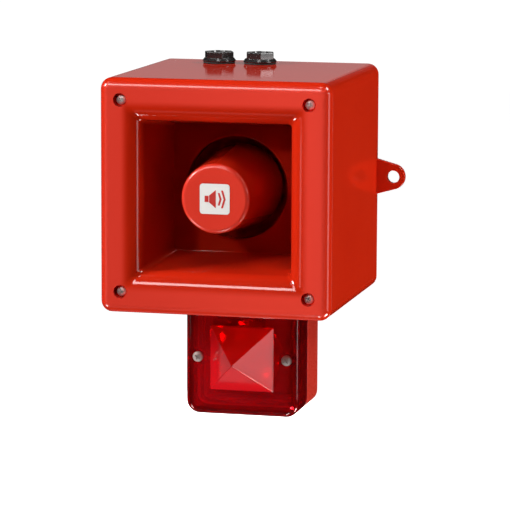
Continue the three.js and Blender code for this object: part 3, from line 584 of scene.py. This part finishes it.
def build_housing():
    """The deep box with a gasket groove round its mouth, its lugs, columns, posts and entries."""
    wall, back, edge = 3.5, -4.0, 0.6
    inner_r = CORNER_R - wall
    rim_half, groove_in, groove_out, groove_y, rim_back_y = 76, 77.5, 80.5, RIM_Y + 2.2, RIM_Y + 10
    section = [
        (HALF - wall - 1, back, inner_r - 1), (HALF - wall, back - 1, inner_r),
        (HALF - wall, rim_back_y, inner_r), (rim_half, rim_back_y, 2), (rim_half, RIM_Y, 2),
        (groove_in, RIM_Y, 2.5), (groove_in, groove_y, 2.5), (groove_out, groove_y, 5.5),
        (groove_out, RIM_Y, 5.5),
        (HALF - 0.4, RIM_Y, CORNER_R - 0.4), (HALF, RIM_Y + 0.4, CORNER_R),
        (HALF, -edge, CORNER_R), (HALF - edge * 0.3, -edge * 0.3, CORNER_R - edge * 0.3),
        (HALF - edge, 0, CORNER_R - edge),
    ]
    shell = loft("housing_shell", [square_ring(h, r, y) for h, y, r in section])
    join(shell, lug(1), lug(-1))
    join(shell, *[corner_column(x, z) for x, z in corners(SCREW_AT)])
    join(shell, *[bar("post", 4, -11.7, -3, at) for at in board_corners()])
    cut(shell, *[bar("pilot", 2.3, RIM_Y - 1, RIM_Y + 24, at) for at in corners(SCREW_AT)])
    cut(shell, *[bar("pilot", 1.75, -13, -5.5, at) for at in board_corners()])
    cut(shell, *[bar("entry", ENTRY_R, HALF - wall - 2, HALF + 2, at, "Z", 64) for at in plug_places()])
    cut(shell, bar("entry", ENTRY_R, -HALF - 2, -HALF + wall + 2, nipple_place(), "Z", 64))
    settle(shell, looks["housing_red"], stands_for=["rear_housing"])


# ---------------------------------------------------------------- horn flare
def flare_rings():
    """The cover's section from the bezel's back edge over the front, down the bowl and back up."""
    rings = []
    for h, y in [(HALF, COVER_BACK_Y)] + arc(HALF - EDGE_R, FRONT_Y + EDGE_R, EDGE_R, 0, -90, 12):
        rings.append(square_ring(h, CORNER_R - (HALF - h), y))
    corner_r, fillet, hole_edge, skin = 3.2, 0.6, 1.6, 3
    lip = arc(LIP_HALF, FRONT_Y + LIP_R, LIP_R, -90, -90 - LIP_TURN, 16)
    rings += [square_ring(h, corner_r, y) for h, y in lip]
    wall_start = Vector(lip[-1])
    wall_end = Vector((PLATE_HALF + fillet, PLATE_Y - fillet - 0.1))
    wall = [wall_start.lerp(wall_end, i / 8) for i in range(1, 9)]
    rings += [square_ring(point.x, corner_r, point.y) for point in wall]
    rings += [square_ring(h, 2.6, y) for h, y in arc(PLATE_HALF, PLATE_Y - fillet, fillet, 12, 90, 4)]
    hole_arc = arc(PLATE_HOLE_R + hole_edge, PLATE_Y + hole_edge, hole_edge, -90, -180, 6)
    bowl_arc = arc(BOWL_R - BOWL_CURVE_R, BOWL_FLOOR_Y - BOWL_CURVE_R, BOWL_CURVE_R, 0, 90, 16)
    rings += [round_ring(r, y) for r, y in hole_arc + bowl_arc]
    rings += [round_ring(THROAT_R, BOWL_FLOOR_Y), round_ring(THROAT_R, BOWL_BACK_Y)]
    rings += [round_ring(38, BOWL_BACK_Y), round_ring(41, BOWL_BACK_Y - 6)]
    rings += [round_ring(41, PLATE_Y + skin), square_ring(49, 5, PLATE_Y + skin)]
    back_half = lip[-1][0] + 5.4
    rings += [square_ring(back_half, 6, lip[-1][1] + skin), square_ring(back_half, 6, COVER_BACK_Y)]
    return rings


def driver_ears():
    """The (x, z) of the three screws that hold the driver."""
    angles = [math.radians(a) for a in (90, 210, 330)]
    return [(43 * math.cos(a), 43 * math.sin(a)) for a in angles]


def build_flare():
    """The front cover with its horn, the bosses of the driver and the counterbores of the cover screws."""
    cover = loft("flare_cover", flare_rings(), looped=True)
    join(cover, *[bar("boss", 5.5, -95, -62.7, at) for at in driver_ears()])
    cut(cover, *[bar("pilot", 2, -78, -61, at) for at in driver_ears()])
    cut(cover, *[bar("bore", 4.8, FRONT_Y - 1, FRONT_Y + 5, at, segments=48)
                 for at in corners(SCREW_AT)])
    cut(cover, *[bar("hole", 2.7, FRONT_Y + 4, COVER_BACK_Y + 1, at) for at in corners(SCREW_AT)])
    settle(cover, looks["housing_red"], stands_for=["horn_flare"])


# ---------------------------------------------------------------- bullet
def bullet_radius(y):
    """The bullet's outer radius at a depth: it widens from its flat nose to its rear edge."""
    front, rear = bullet_low.y, bullet_high.y
    share = (y - front) / (rear - front)
    return NOSE_R + (bullet_high.x - NOSE_R) * share ** 1.15


def build_bullet():
    """The hollow cap in the middle of the horn, with a pocket for its label and a seat for its screw."""
    nose, rear = bullet_low.y, bullet_high.y
    edge_r, wall, rear_r = 3.5, 2.8, bullet_radius(bullet_high.y)
    stations = [nose + (rear - nose) * i / 12 for i in range(1, 12)]
    profile = [(0, nose)]
    profile += arc(bullet_radius(nose + edge_r) - edge_r, nose + edge_r, edge_r, -90, 0, 10)
    profile += [(bullet_radius(y), y) for y in stations]
    profile += [(rear_r, rear - 0.6), (rear_r - 0.8, rear), (rear_r - 1.6, rear)]
    profile += [(bullet_radius(y) - wall, y) for y in reversed(stations[1:])]
    profile += [(bullet_radius(nose + 12) - wall - 8, nose + wall + 1), (0, nose + wall + 1)]
    cap = turned("bullet_cap", profile, 112)
    pocket = rounded_outline(22.1, 21.9, 2.4)
    cut(cap, prism("pocket", pocket, nose - 1, nose + 0.6))
    cut(cap, bar("seat", 4, nose - 1, nose + 2.6), bar("hole", 2.3, nose - 1, nose + 6))
    settle(cap, looks["housing_red"], stands_for=["bullet"])


def build_label():
    """A plain white label with a generic sounder symbol: a driver, a horn and two straight waves."""
    front, back = label_low.y + 0.06, label_high.y
    width, height = label_high.x - label_low.x, label_high.z - label_low.z
    label = prism("label_plate", rounded_outline(width, height, 2.2, 8), front, back)
    bevelled(label, 0.12, 2)
    settle(label, looks["label_white"], stands_for=["bullet_label"])
    shapes = [
        [(-7.2, -2.2), (-4.4, -2.2), (-4.4, 2.2), (-7.2, 2.2)],
        [(-4.0, -2.4), (0.8, -6.4), (0.8, 6.4), (-4.0, 2.4)],
        [(2.2, -4.4), (3.6, -4.4), (5.0, 0), (3.6, 4.4), (2.2, 4.4), (3.5, 0)],
        [(4.6, -6.2), (6.0, -6.2), (7.9, 0), (6.0, 6.2), (4.6, 6.2), (6.4, 0)],
    ]
    for i, outline in enumerate(shapes):
        mark = prism(f"label_mark_{i + 1}", outline, label_low.y, front + 0.02)
        settle(mark, looks["label_print"])


# ---------------------------------------------------------------- screws and plugs
def screw(name, head_r, head_h, shank_r, length, place, flip=False, turn=0.0):
    """A pan-head screw with a cross recess and a ridged shank; its head's underside is at place."""
    profile = [(0, -head_h)]
    profile += [(head_r * math.sin(a), -head_h * (0.35 + 0.65 * math.cos(a)))
                for a in (math.pi / 2 * i / 8 for i in range(1, 9))]
    profile += [(head_r, -0.25), (head_r - 0.2, 0), (shank_r, 0)]
    pitch, ridge = 0.7, 0.28
    for i in range(int((length - 2) / pitch)):
        along = 0.6 + i * pitch
        profile += [(shank_r, along), (shank_r - ridge, along + pitch * 0.5)]
    profile += [(shank_r * 0.8, length - 0.8), (shank_r * 0.3, length), (0, length)]
    piece = turned(name, profile, 32)
    reach, half = head_r * 0.56, head_r * 0.11
    for size in ((reach, half), (half, reach)):
        cut(piece, block("recess", (-size[0], -head_h - 1, -size[1]), (size[0], -head_h * 0.4, size[1])))
    piece.data.transform(Matrix.Rotation(turn, 4, "Y"))
    if flip:
        piece.data.transform(Matrix.Rotation(math.pi, 4, "X"))
    piece.data.transform(Matrix.Translation(Vector(place) * MM))
    return piece


# Kind of screw, how many, radius of the shank, height of the head, look.
SCREW_KINDS = [
    ("cover_screw", 4, 2.0, 2.2, "screw_steel"),
    ("lens_screw", 2, 1.6, 2.2, "lens_screw_steel"),
    ("driver_screw", 3, 1.7, 2.4, "screw_steel"),
    ("board_screw", 4, 1.35, 2.0, "screw_steel"),
]


def build_screws():
    """The screws of the cover, the lens, the driver and the board, each standing for its CAD node."""
    for kind, count, shank_r, head_h, look in SCREW_KINDS:
        for i in range(1, count + 1):
            node = f"{kind}_{i}"
            centre, low, high = node_centre(node)
            head_r = (high.x - low.x) / 2
            flipped = kind == "driver_screw"
            seat = high.y - head_h if flipped else low.y + head_h
            length = high.y - low.y - head_h
            piece = screw(node + "_fine", head_r, head_h, shank_r, length, (centre.x, seat, centre.z),
                          flipped, 0.5 * i)
            settle(piece, looks[look], stands_for=[node])


PLUG_ACROSS_FLATS = 19.7
THREAD_PITCH = 1.5


def build_plug(number, turn):
    """A black stopping plug: threaded barrel, coned flange and a hexagonal head with a crowned top."""
    node = f"stopping_plug_{number}"
    centre, low, high = node_centre(node)
    flange_r = (high.x - low.x) / 2
    corner_r = PLUG_ACROSS_FLATS / math.sqrt(3)
    deck = HALF
    barrel = [(0, low.z), (8.6, low.z), (9.3, low.z + 0.8)]
    along = low.z + 1.2
    while along < deck + 0.2:
        barrel += [(9.9, along), (9.9, along + 0.3), (9.1, along + 0.75), (9.1, along + 1.0)]
        along += THREAD_PITCH
    barrel += [(9.6, deck + 1.5), (flange_r - 0.3, deck + 1.5), (flange_r, deck + 1.8),
               (flange_r, deck + 2.2), (flange_r - 1.3, deck + 3.9), (flange_r - 1.8, deck + 4.1),
               (0, deck + 4.1)]
    body = turned(node + "_fine", barrel, 72, "Z")
    hexagon = [(corner_r * math.cos(turn + math.pi / 3 * i), corner_r * math.sin(turn + math.pi / 3 * i))
               for i in range(6)]
    head = new_object("head", [(x, y, z) for z in (deck + 3.6, high.z) for x, y in hexagon],
                      [tuple(range(5, -1, -1)), tuple(range(6, 12))]
                      + [(i, (i + 1) % 6, 6 + (i + 1) % 6, 6 + i) for i in range(6)])
    bevelled(head, 0.5, 3)
    dimple = [(0, high.z - 0.5), (6.2, high.z - 0.5), (6.8, high.z + 1), (0, high.z + 1)]
    cut(head, turned("dimple", dimple, 48, "Z"))
    join(body, head)
    body.data.transform(Matrix.Translation(Vector((centre.x, centre.y, 0)) * MM))
    settle(body, looks["black_nylon"], stands_for=[node], sharp=30)


# ---------------------------------------------------------------- strobe
def build_strobe_base():
    """The strobe's rear tray, with a ledge inside its mouth, screw columns, a hub and board stakes."""
    half, wall, back_y = STROBE_HALF, 3.2, base_high.y
    radius, inner_r, edge = STROBE_CORNER_R, 6.8, 1.2
    ledge_half, ledge_front_y, ledge_back_y = 35, BASE_RIM_Y + 2.6, BASE_RIM_Y + 7.1
    section = [
        (half - wall - 0.8, back_y - wall, 6), (half - wall, back_y - wall - 0.8, inner_r),
        (half - wall, ledge_back_y, inner_r), (ledge_half, ledge_back_y, 3), (ledge_half, ledge_front_y, 3),
        (half - wall, ledge_front_y, inner_r), (half - wall, BASE_RIM_Y, inner_r),
        (half - 0.3, BASE_RIM_Y, radius - 0.3), (half, BASE_RIM_Y + 0.3, radius),
        (half, back_y - edge, radius),
    ]
    rings = [square_ring(h, r, y, STROBE_Z) for h, y, r in section]
    rings += [square_ring(h, radius - (half - h), y, STROBE_Z)
              for h, y in arc(half - edge, back_y - edge, edge, 15, 90, 5)]
    shell = loft("strobe_housing", rings)
    for side in (-1, 1):
        join(shell, bar("column", 5, BASE_RIM_Y, back_y - 1, (side * LENS_SCREW_X, STROBE_Z)))
        cut(shell, bar("pilot", 1.9, BASE_RIM_Y - 1, BASE_RIM_Y + 18, (side * LENS_SCREW_X, STROBE_Z)))
    join(shell, bar("hub", 13.5, -99, -88, nipple_place(), "Z"))
    cut(shell, bar("entry", 10.2, -100, -80, nipple_place(), "Z", 64))
    for x, z in corners(30):
        join(shell, bar("stake", 3, -24.0, back_y - 1, (x, z + STROBE_Z)))
        join(shell, bar("pin", 1.2, -27.7, back_y - 2, (x, z + STROBE_Z), segments=20))
    settle(shell, looks["strobe_base_red"], stands_for=["strobe_base"])


def build_lens():
    """The clear lens: a rounded tray with a square pyramid that stands out of its face."""
    half, rear_y, face_y, skin = STROBE_HALF, lens_high.y, LENS_FACE_Y, 2.8
    radius, edge, ledge_half, ledge_y = STROBE_CORNER_R, 5, 36, lens_high.y - 3
    apex_y = lens_low.y
    base_half = PYRAMID_HALF
    inner = [
        (0.5, apex_y + 4.2, 0.2), (base_half - 2.4, face_y + skin, 0.6),
        (base_half - 1.4, face_y + skin, 0.8), (half - skin - 3, face_y + skin, 4),
        (half - skin, face_y + skin + 3, radius - skin), (half - skin, ledge_y, radius - skin),
        (ledge_half, ledge_y, 5), (ledge_half, rear_y, 5), (half - 0.3, rear_y, radius - 0.3),
        (half, rear_y - 0.3, radius),
    ]
    rings = [square_ring(h, r, y, STROBE_Z) for h, y, r in inner]
    rings += [square_ring(h, radius - (half - h), y, STROBE_Z)
              for h, y in arc(half - edge, face_y + edge, edge, 0, -90, 10)]
    pyramid = [(base_half + 0.6, face_y, 0.9), (base_half, face_y - 0.5, 0.7),
               (0.7, apex_y + 0.35, 0.35), (0.35, apex_y, 0.17)]
    rings += [square_ring(h, r, y, STROBE_Z) for h, y, r in pyramid]
    lens = loft("lens_window", rings)
    for i in range(5):
        low_z = STROBE_Z - 38 + 2.7 * i
        join(lens, block("rib", (-25, face_y + skin - 0.5, low_z), (25, face_y + skin + 1.2, low_z + 1.2)))
    for side in (-1, 1):
        at = (side * LENS_SCREW_X, STROBE_Z)
        join(lens, bar("column", 6, face_y + 1, rear_y, at))
        cut(lens, bar("hole", 1.9, face_y - 1, rear_y + 1, at),
            bar("seat", 4.6, face_y - 1, face_y + 2.2, at))
    settle(lens, looks["lens_red"], stands_for=["strobe_lens"])


# ---------------------------------------------------------------- what the CAD keeps
def dress_cad_nodes():
    """Gives every CAD node that still shows its procedural material and smooth round faces."""
    slots = {entry["node"]: entry["material_slot"] for entry in frame["record"]["subparts"]}
    for node, piece in frame["nodes"].items():
        if piece.hide_render:
            continue
        piece.data.materials.clear()
        piece.data.materials.append(looks[slots[node]])
        piece.data.shade_smooth()
        piece.data.set_sharp_from_angle(angle=math.radians(SHARP_ANGLE))


# ---------------------------------------------------------------- studio
FLOOR_HALF = 6


def build_floor():
    """A white floor that only the camera sees, so that the light boxes alone shape the piece."""
    floor_z = lens_low.z * MM - 0.35
    vertices = [(x, y, floor_z) for x, y in corners(FLOOR_HALF)]
    mesh = bpy.data.meshes.new("floor")
    mesh.from_pydata(vertices, [], [(0, 1, 2, 3)])
    floor = bpy.data.objects.new("floor", mesh)
    bpy.context.scene.collection.objects.link(floor)
    material, _, _, shader = material_base("floor_white")
    shader.inputs["Base Color"].default_value = (0.9, 0.9, 0.9, 1)
    shader.inputs["Roughness"].default_value = 1.0
    shader.inputs["Emission Color"].default_value = (1, 1, 1, 1)
    shader.inputs["Emission Strength"].default_value = 1.0
    mesh.materials.append(material)
    floor.visible_glossy = False
    floor.visible_diffuse = False
    floor.visible_transmission = False
    floor.visible_shadow = False


def background(nodes, strength):
    node = nodes.new("ShaderNodeBackground")
    node.inputs["Color"].default_value = (1, 1, 1, 1)
    node.inputs["Strength"].default_value = strength
    return node


BACKDROP = 0.275
# Direction axis of the sky, where the backdrop begins along it and where it is full.
BACKDROP_EDGES = [("Z", -0.03, 0.08), ("Z", 0.24, 0.17), ("Y", -0.1, 0.3), ("X", 0.12, -0.05)]


def build_world():
    """White for the camera; everything else sees a pale backdrop behind the piece and darkness in front."""
    world = bpy.data.worlds.new("studio")
    bpy.context.scene.world = world
    world.use_nodes = True
    nodes, links = world.node_tree.nodes, world.node_tree.links
    nodes.clear()
    place = nodes.new("ShaderNodeTexCoord")
    split = nodes.new("ShaderNodeSeparateXYZ")
    links.new(place.outputs["Generated"], split.inputs["Vector"])
    edges = [rising(nodes, links, split.outputs[axis], start, end) for axis, start, end in BACKDROP_EDGES]
    level = edges[0]
    for edge in edges[1:]:
        level = combined_value(nodes, links, "MULTIPLY", level, edge)
    tent = background(nodes, 1)
    tent.inputs["Color"].default_value = (BACKDROP, BACKDROP, BACKDROP, 1)
    links.new(level, tent.inputs["Strength"])
    path = nodes.new("ShaderNodeLightPath")
    mix = nodes.new("ShaderNodeMixShader")
    output = nodes.new("ShaderNodeOutputWorld")
    links.new(path.outputs["Is Camera Ray"], mix.inputs["Fac"])
    links.new(tent.outputs["Background"], mix.inputs[1])
    links.new(background(nodes, 1.05).outputs["Background"], mix.inputs[2])
    links.new(mix.outputs["Shader"], output.inputs["Surface"])


# The point in the middle of the piece, in metres, that every light box faces.
AIM = Vector((0, -0.1, -0.02))


def softbox(name, off_axis, around, distance, size, watts):
    """A light box that faces the piece. off_axis is its angle from the piece's front axis, and around
    is its place on the circle as seen from the front: 0 at the right, 90 above."""
    light = bpy.data.lights.new(name, "AREA")
    light.shape = "RECTANGLE"
    light.size, light.size_y = size
    light.energy = watts
    tilt, turn = math.radians(off_axis), math.radians(around)
    away = Vector((math.sin(tilt) * math.cos(turn), -math.cos(tilt), math.sin(tilt) * math.sin(turn)))
    lamp = bpy.data.objects.new(name, light)
    lamp.location = AIM + away * distance
    lamp.rotation_euler = (-away).to_track_quat("-Z", "Y").to_euler()
    bpy.context.scene.collection.objects.link(lamp)
    return lamp


# Name, angle off the front axis, place around it, distance in metres, size in metres, watts.
LIGHTS = [
    ("left_box", 66, 150, 1.6, (0.35, 0.35), 21),
    ("low_right_box", 90, 315, 1.4, (0.5, 0.5), 18.5),
    ("right_top_box", 90, 45, 1.4, (0.5, 0.5), 13),
    ("low_left_box", 66, 225, 1.6, (0.35, 0.35), 7.5),
    ("low_box", 66, 270, 1.6, (0.35, 0.35), 7),
    ("top_box", 66, 90, 1.6, (0.35, 0.35), 3),
    ("top_left_box", 66, 120, 1.6, (0.35, 0.35), 1.5),
]
FILLS = [
    ("key_spot", 33.8, 133.5, 1.6, (0.1, 0.1), 3.6),
    ("top_strip", 60, 90, 1.6, (1.0, 0.1), 3.5),
    ("back_fill", 176, 90, 1.8, (1.2, 1.2), 26),
    ("low_fill", 150, 270, 1.8, (1.2, 0.8), 8),
]
MIRROR_CARDS = [
    ("right_card", 86, 0, 1.6, (0.6, 0.9), 3.8),
    ("left_card", 50.5, 191, 1.6, (0.3, 0.26), 0.32),
    ("left_back_card", 118, 190, 1.6, (0.6, 0.4), 0.2),
    ("floor_card", 112.6, 255, 1.6, (0.8, 0.8), 0.6),
    ("edge_card", 39.7, 116, 1.6, (1.0, 0.36), 12),
    ("plug_card", 80, 12.6, 1.6, (0.7, 0.25), 2.8),
    ("low_edge_card", 56, 260, 1.6, (1.4, 0.3), 0.4),
]


def build_lights():
    """The boxes light the piece, the fills light it without a mirror image, and the cards only show
    as reflections in its gloss."""
    for entry in LIGHTS:
        softbox(*entry)
    for entry in FILLS:
        fill = softbox(*entry)
        fill.visible_glossy = False
        fill.visible_transmission = False
    for entry in MIRROR_CARDS:
        card = softbox(*entry)
        card.visible_diffuse = False
        card.visible_transmission = False


CAMERA = {"yaw": 13.73, "pitch": 8.555, "roll": 0.247, "distance": 2.2395,
          "target": (0.0117, -0.090, -0.0492), "lens": 219.65}


def build_camera():
    yaw, pitch = math.radians(CAMERA["yaw"]), math.radians(CAMERA["pitch"])
    back = Vector((math.sin(yaw) * math.cos(pitch), -math.cos(yaw) * math.cos(pitch), math.sin(pitch)))
    data = bpy.data.cameras.new("camera")
    data.lens = CAMERA["lens"]
    data.sensor_width = 36
    data.clip_end = 50
    camera = bpy.data.objects.new("camera", data)
    camera.location = Vector(CAMERA["target"]) + back * CAMERA["distance"]
    facing = (-back).to_track_quat("-Z", "Y")
    roll = Matrix.Rotation(math.radians(CAMERA["roll"]), 4, "Z")
    camera.rotation_euler = (facing.to_matrix().to_4x4() @ roll).to_euler()
    bpy.context.scene.collection.objects.link(camera)
    bpy.context.scene.camera = camera


build_camera()
build_housing()
build_flare()
build_bullet()
build_label()
build_screws()
build_plug(1, math.radians(53))
build_plug(2, math.radians(44))
build_strobe_base()
build_lens()
dress_cad_nodes()
build_floor()
build_world()
build_lights()
bpy.context.scene.view_settings.view_transform = "Standard"
